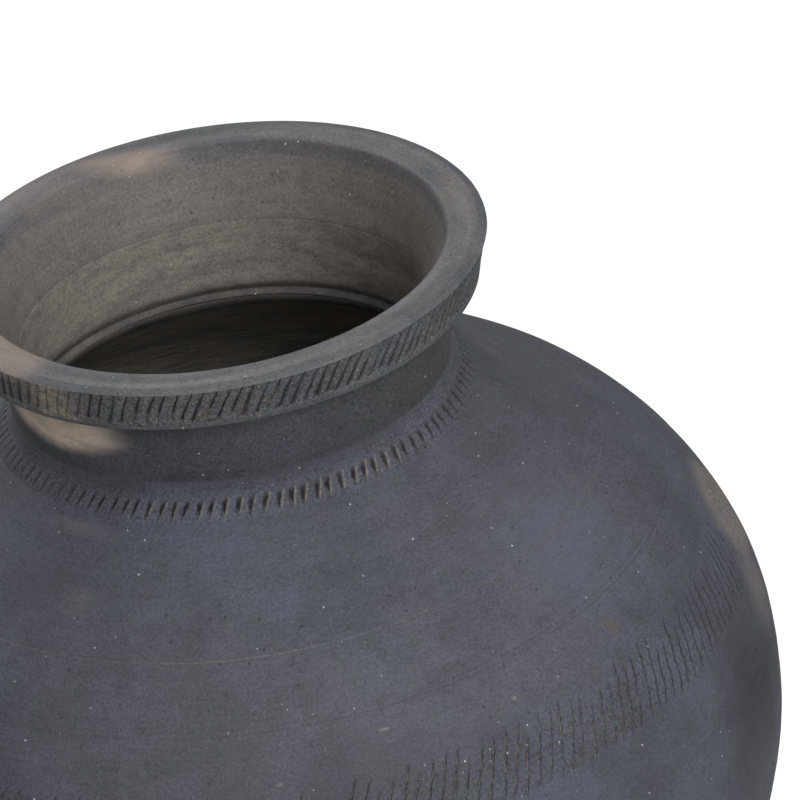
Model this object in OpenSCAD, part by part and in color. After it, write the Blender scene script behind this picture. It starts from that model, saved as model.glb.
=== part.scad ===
// Round black clay water jar with a flared notched rim.
// The wall is raised in rings that are scarfed and luted together, so each ring is its own solid.
// The origin is the centre of the flat resting face, and the mouth opens upwards.

/* [Body] */
// Diameter at the widest line of the belly
body_d = 366; // [350:1:385]
// Height of the widest line above the floor
belly_h = 153; // [140:1:165]
// Height from the widest line up to the root of the neck, where it meets the shoulder
shoulder_h = 136.8; // [130:0.2:150]
// Diameter of the flat face the jar stands on
base_d = 160; // [130:1:190]
// Thickness of the thrown wall
wall_t = 7; // [5:0.5:9]
// Thickness of the base at its middle
base_t = 9; // [7:0.5:12]
// Slope of the straight shoulder just below the neck, in degrees
shoulder_slope = 37; // [33:0.5:41]

/* [Seams] */
// Height above the floor of the level seam between foot and bowl
foot_seam_h = 56; // [45:1:80]
// Height below the widest line of the seam between bowl and belly
bowl_seam_drop = 14; // [6:1:30]
// Lean of the scarfed seams inwards and down, in degrees
scarf_lean = 35; // [25:1:45]
// Width of the crown, from the root of the neck out to the scored line it is luted on at
crown_w = 49.8; // [44:0.2:56]
// Width of the scored line
score_w = 1.2; // [0.8:0.1:2]
// Height of the fine double line above the combed band
fine_line_rise = 18.8; // [14:0.2:22]
// Distance between the two fine lines, measured level
fine_line_gap = 1.8; // [1.4:0.1:3]
// Width of each fine line
fine_line_w = 0.7; // [0.4:0.1:1]

/* [Combed band] */
// Height of the band's lower edge above the widest line
comb_rise = 41.4; // [30:0.2:46]
// Height of the combed band
comb_h = 22; // [16:0.5:24]
// Number of strokes round the band
comb_count = 216; // [120:1:240]
// Slant of the strokes, in degrees
comb_slant = 24; // [10:1:30]
// Width of a stroke at its middle
comb_w = 1.2; // [0.8:0.1:1.6]
// Depth of a stroke at its middle
comb_depth = 0.8; // [0.4:0.1:1]
// Clay left plain above and below the strokes, as far as the seams
comb_margin = 4; // [3:0.5:6]

/* [Neck] */
// Height from the root of the neck to the top of the lip
neck_h = 55.2; // [51:0.2:62]
// Outside diameter of the neck at its root
neck_d = 161; // [152:0.5:164]
// Thickness of the neck's wall
neck_t = 6.5; // [5:0.5:8]
// How far the neck's soft bulge stands out
bulge_out = 0.9; // [0.4:0.1:1.2]
// Height of the bulge's middle above the neck's root
bulge_rise = 16.2; // [14:0.2:18]
// Radius of the hollow under the rim
waist_r = 9; // [7:0.5:11]
// How far the hollow under the rim is drawn in
waist_in = 1; // [0.5:0.1:1.5]

/* [Neck fillet] */
// Diameter of the notched strip's foot on the shoulder
fillet_d = 176; // [172:0.5:182]
// Height of the strip's top edge up the neck
fillet_rise = 7; // [5:0.5:9]
// How far the strip's crest stands off the shoulder line
fillet_proud = 1.6; // [1:0.1:2.4]
// Width of the strip's notched face
fillet_face_w = 7.5; // [6:0.5:8]
// Radius of the strip's crest
fillet_round = 0.8; // [0.4:0.1:1]
// Share of the notched face, from its crest, at which the notches have their middle
fillet_notch_reach = 0.42; // [0.35:0.01:0.5]
// Number of notches round the strip
fillet_notches = 112; // [60:1:124]
// Slant of the strip's notches, in degrees
fillet_slant = 38; // [20:1:45]
// Width of a strip notch
fillet_notch_w = 1.5; // [0.8:0.1:1.8]
// Depth of a strip notch
fillet_notch_depth = 0.9; // [0.5:0.1:1.2]

/* [Inside seam coil] */
// Width of the coil pressed over the seam inside
coil_w = 9; // [7:0.5:12]
// Thickness of the pressed coil
coil_t = 2; // [1.5:0.1:3]
// Distance from the throat's wall out to the coil's middle
coil_out = 7.5; // [6:0.5:10]

/* [Rim] */
// Outside diameter of the rim at the lip
rim_d = 200; // [192:0.5:206]
// How far the flare under the rim reaches out from the neck
seat_out = 5.5; // [4:0.5:7]
// Diameter of the mouth at the lip's inner edge
mouth_d = 170; // [166:0.5:176]
// Height of the notched band round the rim
rim_h = 17.6; // [15:0.2:20]
// Diameter at the foot of the notched band
rim_foot_d = 190; // [186:0.5:193]
// Depth of the flare inside, from the lip to the seam
flare_h = 27; // [25:0.5:30]
// Radius of the rim's outer corners
rim_round = 1.6; // [1:0.1:2.2]
// Radius of the rim's inner corner
lip_round = 2.4; // [1.5:0.1:3]
// Width of the open seam line inside the throat
throat_seam_w = 1.4; // [0.8:0.1:2]
// Number of notches round the rim
rim_notches = 136; // [80:1:148]
// Slant of the rim's notches, in degrees
rim_slant = 24; // [10:1:30]
// Length of a rim notch
rim_notch_l = 14.4; // [10:0.2:15]
// Width of a rim notch
rim_notch_w = 1.2; // [0.8:0.1:1.6]
// Depth of a rim notch at its middle
rim_notch_depth = 0.9; // [0.5:0.1:1.2]
// How much a rim notch deepens towards its foot, in degrees
rim_notch_dip = 2; // [0:0.5:3]
// Distance from the lip's corner to the top of the notches
rim_notch_drop = 1.4; // [1:0.1:2]

/* [Hidden] */
$fn = 180;
clay = "#4a4e55";
clay_dark = "#3d3f44";
clay_warm = "#57534f";
cut_over = wall_t / 2;
scarf_reach = 2 * wall_t;

body_r = body_d / 2;
base_r = base_d / 2;
neck_r = neck_d / 2;
throat_r = neck_r - neck_t;
root_h = belly_h + shoulder_h;
jar_h = root_h + neck_h;
beyond = body_d + jar_h;
fillet_r = fillet_d / 2;

// The bowl is one arc that is upright at the widest line and ends at the resting face
bowl_run = body_r - base_r;
bowl_arc = (bowl_run * bowl_run + belly_h * belly_h) / (2 * bowl_run);
bowl_axis = body_r - bowl_arc;

// The belly is one arc that is upright at the widest line and runs into the straight shoulder
belly_arc = (shoulder_h * cos(shoulder_slope) - (body_r - neck_r) * sin(shoulder_slope))
    / (1 - sin(shoulder_slope));
belly_axis = body_r - belly_arc;
bend_r = belly_axis + belly_arc * sin(shoulder_slope);
bend_h = belly_h + belly_arc * cos(shoulder_slope);

// Height of the outer shoulder line at a radius, and radius of the outer wall at a height
function slope_z(r) = bend_h + (bend_r - r) * tan(shoulder_slope);
function shoulder_z(r) = r < bend_r ? slope_z(r)
    : belly_h + sqrt(belly_arc * belly_arc - (r - belly_axis) * (r - belly_axis));
function belly_r(z) = z > bend_h ? bend_r - (z - bend_h) / tan(shoulder_slope)
    : belly_axis + sqrt(belly_arc * belly_arc - (z - belly_h) * (z - belly_h));
function bowl_r(z, thick) = bowl_axis
    + sqrt((bowl_arc - thick) * (bowl_arc - thick) - (z - belly_h) * (z - belly_h));
function belly_tilt(z) = z > bend_h ? 90 - shoulder_slope : asin((z - belly_h) / belly_arc);

bowl_seam_h = belly_h - bowl_seam_drop;
bowl_seam_r = bowl_r(bowl_seam_h, 0);
floor_r = bowl_r(base_t, wall_t);
comb_low = belly_h + comb_rise;
comb_high = comb_low + comb_h;
comb_seam_low = comb_low - comb_margin;
comb_seam_high = comb_high + comb_margin;
comb_mid = (comb_low + comb_high) / 2;
fine_line_r = belly_r(comb_high + fine_line_rise);
score_r = neck_r + crown_w;
score_h = shoulder_z(score_r);
throat_root_h = slope_z(throat_r) - wall_t / cos(shoulder_slope);
flare_foot_h = jar_h - flare_h;
rim_foot_h = jar_h - rim_h;

// The neck's bulge and the hollow under the rim are two arcs that run into each other
waist_axis = neck_r - waist_in + waist_r;
seat_r = neck_r + seat_out;
waist_mid_h = rim_foot_h - sqrt(waist_r * waist_r - (seat_r - waist_axis) * (seat_r - waist_axis));
bulge_mid_h = root_h + bulge_rise;
sway = waist_in + bulge_out;
sway_rise = waist_mid_h - bulge_mid_h;
bulge_arc = (sway_rise * sway_rise - sway * (2 * waist_r - sway)) / (2 * sway);
bulge_axis = neck_r + bulge_out - bulge_arc;
sway_h = bulge_mid_h + sway_rise * bulge_arc / (bulge_arc + waist_r);
neck_core_r = (throat_r + neck_r) / 2;

// The notched strip lies in the corner between neck and shoulder
toe = [fillet_r, slope_z(fillet_r)];
crest = toe + fillet_face_w * [-cos(shoulder_slope), sin(shoulder_slope)]
    + fillet_proud * [sin(shoulder_slope), cos(shoulder_slope)];
fillet_lift = atan2(toe[0] - crest[0], crest[1] - toe[1]);
fillet_face_l = norm(crest - toe);
fillet_mid = crest + fillet_notch_reach * (toe - crest);
fillet_notch_l = 2 * fillet_notch_reach * fillet_face_l / cos(fillet_slant);
fillet_hollow_in = crest[0] - neck_r;
fillet_hollow_up = root_h + fillet_rise - crest[1];
fillet_hollow = (fillet_hollow_in * fillet_hollow_in + fillet_hollow_up * fillet_hollow_up)
    / (2 * fillet_hollow_in);

// The pressed coil lies on the inner side of the shoulder, just outside the throat
coil_mid = [throat_r + coil_out, throat_root_h - coil_out * tan(shoulder_slope)];

// The notches start just under the lip's corner and end short of the band's foot
rim_r = rim_d / 2;
rim_foot_r = rim_foot_d / 2;
mouth_r = mouth_d / 2;
rim_lean = atan2(rim_r - rim_foot_r, rim_h);
rim_notch_mid = rim_notch_drop + rim_notch_l * cos(rim_slant) / 2;
rim_mid = [rim_r - rim_notch_mid * sin(rim_lean), jar_h - rim_notch_mid * cos(rim_lean)];

// What lies under the outer skin, or under a skin that lies deeper by thick
module body_2d(thick) {
    arc = belly_arc - thick;
    turn_r = belly_axis + arc * sin(shoulder_slope);
    turn_h = belly_h + arc * cos(shoulder_slope);
    top_r = thick > 0 ? throat_r : neck_r;
    top_h = turn_h + (turn_r - top_r) * tan(shoulder_slope);
    intersection() {
        translate([bowl_axis, belly_h]) circle(r = bowl_arc - thick);
        translate([0, -beyond]) square([beyond, belly_h + beyond]);
    }
    intersection() {
        translate([belly_axis, belly_h]) circle(r = arc);
        translate([turn_r, belly_h]) square([beyond, beyond]);
    }
    polygon([[0, belly_h], [turn_r, belly_h], [turn_r, turn_h], [top_r, top_h], [0, top_h]]);
}

// Thrown wall cut off by a band shape
module wall_2d() {
    intersection() {
        difference() {
            body_2d(0);
            body_2d(wall_t);
        }
        children();
    }
}

// Line from outside the jar to its axis that slants through the wall only, for a seam that
// shows outside at seam_r and seam_h
function scarf(seam_r, seam_h) = [
    [beyond, seam_h + (beyond - seam_r) * tan(scarf_lean)],
    [seam_r - scarf_reach, seam_h - scarf_reach * tan(scarf_lean)],
    [0, seam_h - scarf_reach * tan(scarf_lean)]
];
function backwards(points) = [for (i = [len(points) - 1 : -1 : 0]) points[i]];

// Band between two scarfed seams
module band_2d(low_r, low_h, high_r, high_h) {
    polygon(concat(backwards(scarf(low_r, low_h)), scarf(high_r, high_h)));
}

// A line scored into the wall while it turned
module scored_2d(line_r, line_w) {
    translate([line_r, shoulder_z(line_r)]) circle(d = line_w);
}

// Convex outline with each corner rounded by its own radius
function unit(v) = v / norm(v);
function arm(points, i, step) = unit(points[(i + step + len(points)) % len(points)] - points[i]);
function half_turn(points, i) = acos(arm(points, i, 1) * arm(points, i, -1)) / 2;
module rounded_2d(points, radii) {
    n = len(points);
    polygon([
        for (i = [0 : n - 1], step = [-1, 1])
            points[i] + arm(points, i, step) * radii[i] / tan(half_turn(points, i))
    ]);
    for (i = [0 : n - 1])
        if (radii[i] > 0)
            translate(points[i] + unit(arm(points, i, 1) + arm(points, i, -1))
                * radii[i] / sin(half_turn(points, i)))
                circle(r = radii[i]);
}

// A knife stroke along Z with its edge towards minus X
module stroke(l, w, depth) {
    spread = w / 2 * (depth + cut_over) / depth;
    translate([0, 0, -l / 2])
        linear_extrude(l)
            polygon([[-depth, 0], [cut_over, -spread], [cut_over, spread]]);
}

// Strokes set round the jar on a face whose normal is lifted by lift degrees
module stroke_ring(count, r, z, lift, slant, dip, l, w, depth) {
    for (i = [0 : count - 1])
        rotate([0, 0, i * 360 / count])
            translate([r, 0, z])
                rotate([0, -lift, 0])
                    rotate([-slant, 0, 0])
                        rotate([0, dip, 0])
                            stroke(l, w, depth);
}

module base_disc() {
    color(clay_dark)
        rotate_extrude()
            polygon([[0, 0], [base_r, 0], [floor_r, base_t], [0, base_t]]);
}

module foot_bowl() {
    color(clay)
        rotate_extrude()
            wall_2d()
                polygon([
                    [base_r, 0],
                    [beyond, 0],
                    [beyond, foot_seam_h],
                    [0, foot_seam_h],
                    [0, base_t],
                    [floor_r, base_t]
                ]);
}

module lower_bowl() {
    color(clay)
        rotate_extrude()
            wall_2d()
                polygon(concat([[0, foot_seam_h], [beyond, foot_seam_h]],
                    scarf(bowl_seam_r, bowl_seam_h)));
}

module belly_ring() {
    color(clay)
        rotate_extrude()
            wall_2d()
                band_2d(bowl_seam_r, bowl_seam_h, belly_r(comb_seam_low), comb_seam_low);
}

module comb_ring() {
    tilt = belly_tilt(comb_mid);
    color(clay_dark)
        difference() {
            rotate_extrude()
                wall_2d()
                    band_2d(belly_r(comb_seam_low), comb_seam_low,
                        belly_r(comb_seam_high), comb_seam_high);
            stroke_ring(comb_count, belly_r(comb_mid), comb_mid, tilt, comb_slant, 0,
                comb_h / cos(tilt) / cos(comb_slant), comb_w, comb_depth);
        }
}

module shoulder_ring() {
    color(clay)
        rotate_extrude()
            difference() {
                wall_2d()
                    band_2d(belly_r(comb_seam_high), comb_seam_high, score_r, score_h);
                scored_2d(score_r, score_w);
                scored_2d(fine_line_r - fine_line_gap / 2, fine_line_w);
                scored_2d(fine_line_r + fine_line_gap / 2, fine_line_w);
            }
}

module crown_ring() {
    color(clay)
        rotate_extrude()
            difference() {
                wall_2d()
                    polygon(concat(backwards(scarf(score_r, score_h)),
                        [[neck_r, root_h], [throat_r, throat_root_h]]));
                scored_2d(score_r, score_w);
            }
}

module neck_collar() {
    color(clay_warm)
        rotate_extrude()
            difference() {
                union() {
                    polygon([
                        [throat_r, throat_root_h],
                        [neck_r, root_h],
                        [neck_r, bulge_mid_h],
                        [throat_r, bulge_mid_h]
                    ]);
                    intersection() {
                        translate([bulge_axis, bulge_mid_h]) circle(r = bulge_arc);
                        translate([throat_r, root_h])
                            square([beyond, sway_h - root_h]);
                    }
                    difference() {
                        polygon([
                            [throat_r, bulge_mid_h],
                            [neck_core_r, bulge_mid_h],
                            [neck_core_r, sway_h],
                            [seat_r, sway_h],
                            [seat_r, rim_foot_h],
                            [neck_r, rim_foot_h],
                            [throat_r, flare_foot_h]
                        ]);
                        translate([waist_axis, waist_mid_h]) circle(r = waist_r);
                    }
                }
                throat_seam_2d();
            }
}

// The open line inside the throat where the rim is luted to the collar
module throat_seam_2d() {
    translate([throat_r, flare_foot_h]) circle(d = throat_seam_w);
}

module neck_fillet() {
    color(clay_dark)
        difference() {
            rotate_extrude()
                difference() {
                    rounded_2d([[neck_r, root_h], toe, crest, [neck_r, root_h + fillet_rise]],
                        [0, 0, fillet_round, 0]);
                    translate([neck_r + fillet_hollow, root_h + fillet_rise])
                        circle(r = fillet_hollow);
                }
            stroke_ring(fillet_notches, fillet_mid[0], fillet_mid[1], fillet_lift, fillet_slant,
                0, fillet_notch_l, fillet_notch_w, fillet_notch_depth);
        }
}

module seam_coil() {
    coil_arc = (coil_w * coil_w / 4 + coil_t * coil_t) / (2 * coil_t);
    color(clay_warm)
        rotate_extrude()
            translate(coil_mid)
                rotate(-shoulder_slope)
                    intersection() {
                        translate([0, coil_arc - coil_t]) circle(r = coil_arc);
                        translate([-coil_w, -coil_w]) square([2 * coil_w, coil_w]);
                    }
}

module rim_ring() {
    color(clay)
        difference() {
            rotate_extrude()
                difference() {
                    rounded_2d([
                        [throat_r, flare_foot_h],
                        [neck_r, rim_foot_h],
                        [rim_foot_r, rim_foot_h],
                        [rim_r, jar_h],
                        [mouth_r, jar_h]
                    ], [0, 0, rim_round, rim_round, lip_round]);
                    throat_seam_2d();
                }
            stroke_ring(rim_notches, rim_mid[0], rim_mid[1], -rim_lean, rim_slant, rim_notch_dip,
                rim_notch_l, rim_notch_w, rim_notch_depth);
        }
}

base_disc();
foot_bowl();
lower_bowl();
belly_ring();
comb_ring();
shoulder_ring();
crown_ring();
neck_collar();
neck_fillet();
seam_coil();
rim_ring();
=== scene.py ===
import math
import random

import bmesh
import bpy
import numpy as np
from mathutils import Matrix, Vector


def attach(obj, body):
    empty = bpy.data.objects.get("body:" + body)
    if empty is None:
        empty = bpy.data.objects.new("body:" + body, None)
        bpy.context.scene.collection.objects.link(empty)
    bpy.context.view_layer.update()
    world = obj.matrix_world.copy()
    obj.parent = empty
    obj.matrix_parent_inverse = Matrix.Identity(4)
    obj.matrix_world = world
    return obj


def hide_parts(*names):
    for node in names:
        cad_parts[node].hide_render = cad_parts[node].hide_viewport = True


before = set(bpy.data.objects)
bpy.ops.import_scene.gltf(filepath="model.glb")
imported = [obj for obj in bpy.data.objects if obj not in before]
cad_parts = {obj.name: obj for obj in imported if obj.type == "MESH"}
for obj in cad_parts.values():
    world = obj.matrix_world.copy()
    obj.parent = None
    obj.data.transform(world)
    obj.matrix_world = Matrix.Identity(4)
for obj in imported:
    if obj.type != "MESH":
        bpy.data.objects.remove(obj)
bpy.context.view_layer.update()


# The base: a thick disc of clay that the wall is raised on, pressed flat and scraped underneath
# where the jar stands. Like the whole jar it is unglazed and smoked blue-grey in the fire, with
# tan fire clouds where the flame touched it.
MM = 0.001
BODY_R = 183
BELLY_H = 153
WALL = 7
BOWL_ARC = 165.1
BOWL_AXIS = BODY_R - BOWL_ARC
BASE_R = 80
BASE_T = 9
EDGE_H = 0.4
EDGE_ROUND = 0.5


def turned(name, outline, columns):
    """A closed ring: the outline, in mm, spun an eighth round the axis and repeated."""
    shape = bmesh.new()
    corners = [shape.verts.new((0, -r * MM, z * MM)) for r, z in outline]
    edges = [shape.edges.new((a, b)) for a, b in zip(corners, corners[1:] + corners[:1])]
    bmesh.ops.spin(shape, geom=corners + edges, axis=(0, 0, 1), cent=(0, 0, 0), dvec=(0, 0, 0),
                   angle=math.pi / 4, steps=columns // 8, use_merge=False, use_duplicate=False)
    for turn in (math.pi / 4, math.pi / 2, math.pi):
        copy = bmesh.ops.duplicate(shape, geom=shape.verts[:] + shape.edges[:] + shape.faces[:])
        bmesh.ops.rotate(shape, cent=(0, 0, 0), matrix=Matrix.Rotation(turn, 3, "Z"),
                         verts=[v for v in copy["geom"] if isinstance(v, bmesh.types.BMVert)])
    bmesh.ops.remove_doubles(shape, verts=shape.verts, dist=2e-6)
    bmesh.ops.recalc_face_normals(shape, faces=shape.faces)
    mesh = bpy.data.meshes.new(name)
    shape.to_mesh(mesh)
    shape.free()
    piece = bpy.data.objects.new(name, mesh)
    bpy.context.scene.collection.objects.link(piece)
    return piece


def places(piece):
    """Angle, radius and height of every vertex, in radians and mm. Angle 0 faces the camera's side."""
    flat = np.empty(len(piece.data.vertices) * 3)
    piece.data.vertices.foreach_get("co", flat)
    x, y, z = flat.reshape(-1, 3).T / MM
    return np.arctan2(x, -y), np.hypot(x, y), z


def settle(piece, t, r, z, sharp=32, **masks):
    """Writes the moved vertices back, keeps crisp corners crisp and stores masks for the finish."""
    moved = np.stack([r * np.sin(t), -r * np.cos(t), z], axis=1) * MM
    piece.data.vertices.foreach_set("co", moved.ravel())
    for mask in ("cut", "dust", "coarse", "inner", "worn"):
        layer = piece.data.attributes.new(mask, "FLOAT", "POINT")
        layer.data.foreach_set("value", np.clip(masks.get(mask, 0 * t), 0, 1))
    piece.data.polygons.foreach_set("use_smooth", [True] * len(piece.data.polygons))
    piece.data.set_sharp_from_angle(angle=math.radians(sharp))
    piece.data.update()


def fitted(piece, *nodes, slot, finish):
    """The finished piece stands for its solids and rides with the jar."""
    piece.data.materials.clear()
    piece.data.materials.append(finish)
    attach(piece, "root")
    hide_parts(*nodes)


class Wiring:
    """Short ways to place and join shader nodes in one tree."""

    def __init__(self, tree):
        self.tree = tree

    def node(self, kind, **settings):
        made = self.tree.nodes.new(kind)
        for key, value in settings.items():
            setattr(made, key, value)
        return made

    def join(self, source, target):
        if isinstance(source, (int, float, tuple)):
            target.default_value = source
        else:
            self.tree.links.new(source, target)

    def math(self, operation, a, b=None, c=None, clamp=False):
        made = self.node("ShaderNodeMath", operation=operation, use_clamp=clamp)
        for socket, value in zip(made.inputs, (a, b, c)):
            if value is not None:
                self.join(value, socket)
        return made.outputs[0]

    def vector(self, operation, a, b=None, scale=None):
        made = self.node("ShaderNodeVectorMath", operation=operation)
        self.join(a, made.inputs[0])
        if b is not None:
            self.join(b, made.inputs[1])
        if scale is not None:
            self.join(scale, made.inputs["Scale"])
        return made.outputs["Value"] if operation in ("LENGTH", "DOT_PRODUCT") else made.outputs[0]

    def ramp(self, value, low, high, to_low=0.0, to_high=1.0):
        made = self.node("ShaderNodeMapRange", interpolation_type="SMOOTHSTEP")
        for name, number in (("Value", value), ("From Min", low), ("From Max", high),
                             ("To Min", to_low), ("To Max", to_high)):
            self.join(number, made.inputs[name])
        return made.outputs["Result"]

    def mix(self, amount, a, b, blend="MIX"):
        made = self.node("ShaderNodeMix", data_type="RGBA", blend_type=blend)
        self.join(amount, made.inputs["Factor"])
        self.join(a, made.inputs["A"])
        self.join(b, made.inputs["B"])
        return made.outputs["Result"]

    def noise(self, vector, scale, detail, rough):
        made = self.node("ShaderNodeTexNoise", noise_dimensions="3D")
        for name, source in (("Vector", vector), ("Scale", scale), ("Detail", detail),
                             ("Roughness", rough)):
            self.join(source, made.inputs[name])
        return made.outputs["Fac"]

    def mask(self, attribute):
        return self.node("ShaderNodeAttribute", attribute_name=attribute).outputs["Fac"]

    def group(self, group, **values):
        made = self.node("ShaderNodeGroup", node_tree=group)
        for name, source in values.items():
            self.join(source, made.inputs[name])
        return made.outputs


def grouped(name, inputs, outputs):
    """An empty node group with named sockets, and the wiring to fill it."""
    group = bpy.data.node_groups.new(name, "ShaderNodeTree")
    for title, kind, *start in inputs:
        socket = group.interface.new_socket(name=title, in_out="INPUT", socket_type=kind)
        if start:
            socket.default_value = start[0]
    for title, kind in outputs:
        group.interface.new_socket(name=title, in_out="OUTPUT", socket_type=kind)
    wires = Wiring(group)
    entry = wires.node("NodeGroupInput").outputs
    leave = wires.node("NodeGroupOutput").inputs
    return group, wires, entry, leave


def turning_group():
    """Streaks that run round the jar, left by the potter's hand and cloth while it turned."""
    group, w, entry, leave = grouped(
        "turning marks",
        [("Place", "NodeSocketVector"), ("Up", "NodeSocketFloat", 1.0), ("Out", "NodeSocketFloat", -1.0)],
        [("Fine", "NodeSocketFloat"), ("Broad", "NodeSocketFloat"), ("Brushed", "NodeSocketFloat")])
    split = w.node("ShaderNodeSeparateXYZ")
    w.join(entry["Place"], split.inputs[0])
    flat = w.node("ShaderNodeCombineXYZ")
    w.join(split.outputs["X"], flat.inputs["X"])
    w.join(split.outputs["Y"], flat.inputs["Y"])
    radius = w.vector("LENGTH", flat.outputs[0])
    around = w.vector("NORMALIZE", flat.outputs[0])
    along = w.math("MULTIPLY_ADD", radius, entry["Out"],
                   w.math("MULTIPLY", split.outputs["Z"], entry["Up"]))
    for name, turn, climb, detail in (("Fine", 3.0, 900.0, 3.0), ("Broad", 1.2, 70.0, 4.0),
                                      ("Brushed", 9.0, 320.0, 5.0)):
        stretched = w.node("ShaderNodeCombineXYZ")
        w.join(w.math("MULTIPLY", along, climb), stretched.inputs["Z"])
        spread = w.vector("ADD", w.vector("SCALE", around, scale=turn), stretched.outputs[0])
        w.join(w.noise(spread, 1.0, detail, 0.6), leave[name])
    return group


def cloud_group():
    """An egg-shaped place with a frayed edge: the patch a flame leaves on smoked clay, and also patches of
    painted shade and painted sheen.
    """
    group, w, entry, leave = grouped(
        "fire cloud and painted patch",
        [("Place", "NodeSocketVector"), ("Fray", "NodeSocketFloat", 0.3),
         ("Soft", "NodeSocketFloat", 0.3), ("Scale", "NodeSocketFloat", 2.2)],
        [("Mask", "NodeSocketFloat")])
    fray = w.noise(entry["Place"], entry["Scale"], 5.0, 0.6)
    wander = w.math("MULTIPLY", w.math("SUBTRACT", fray, 0.5), entry["Fray"])
    reach = w.math("ADD", w.vector("LENGTH", entry["Place"]), wander)
    edge = w.math("SUBTRACT", 1.0, entry["Soft"])
    w.join(w.ramp(reach, edge, 1.0, 1.0, 0.0), leave["Mask"])
    return group


def speck_group():
    """Grains in the clay: bright specks and small pits, each at its own place and size."""
    group, w, entry, leave = grouped(
        "specks",
        [("Place", "NodeSocketVector"), ("Spacing", "NodeSocketFloat", 205.0),
         ("Size", "NodeSocketFloat", 0.00042)],
        [("Mask", "NodeSocketFloat"), ("Chance", "NodeSocketFloat")])
    cells = w.node("ShaderNodeTexVoronoi", feature="F1")
    w.join(entry["Place"], cells.inputs["Vector"])
    w.join(entry["Spacing"], cells.inputs["Scale"])
    pick = w.node("ShaderNodeSeparateColor")
    w.join(cells.outputs["Color"], pick.inputs[0])
    apart = w.math("DIVIDE", cells.outputs["Distance"], entry["Spacing"])
    size = w.math("MULTIPLY", entry["Size"], w.math("MULTIPLY_ADD", pick.outputs[0], 0.9, 0.25))
    w.join(w.ramp(apart, w.math("MULTIPLY", size, 0.5), size, 1.0, 0.0), leave["Mask"])
    w.join(pick.outputs[1], leave["Chance"])
    return group


def scratch_group():
    """A straight mark between two places on the jar."""
    group, w, entry, leave = grouped(
        "scratch",
        [("Place", "NodeSocketVector"), ("From", "NodeSocketVector"), ("To", "NodeSocketVector"),
         ("Width", "NodeSocketFloat", 0.0005)],
        [("Mask", "NodeSocketFloat")])
    span = w.vector("SUBTRACT", entry["To"], entry["From"])
    out = w.vector("SUBTRACT", entry["Place"], entry["From"])
    share = w.math("DIVIDE", w.vector("DOT_PRODUCT", out, span),
                   w.vector("DOT_PRODUCT", span, span), clamp=True)
    gap = w.vector("LENGTH", w.vector("SUBTRACT", out, w.vector("SCALE", span, scale=share)))
    w.join(w.ramp(gap, w.math("MULTIPLY", entry["Width"], 0.4), entry["Width"], 1.0, 0.0),
           leave["Mask"])
    return group


TURNING = turning_group()
CLOUD = cloud_group()
SPECKS = speck_group()
SCRATCH = scratch_group()


def tone(red, green, blue):
    """A colour as it looks on screen, from 0 to 255, for a shader socket."""
    linear = [((c / 255 + 0.055) / 1.055) ** 2.4 if c > 10 else c / 255 / 12.92
              for c in (red, green, blue)]
    return (*linear, 1.0)


BLUE_GREY = tone(86, 89, 101)
DARK_GREY = tone(76, 78, 87)
BROWN_GREY = tone(90, 87, 90)
INSIDE_DARK = tone(104, 100, 98)
WEAR_AND_HIGHLIGHT = tone(136, 135, 137)
TAN = tone(168, 152, 140)
PALE = tone(140, 136, 132)
DUST = tone(150, 139, 124)
SOOT_AND_SHADE = tone(30, 30, 32)
BRIGHT = tone(205, 205, 200)


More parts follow.
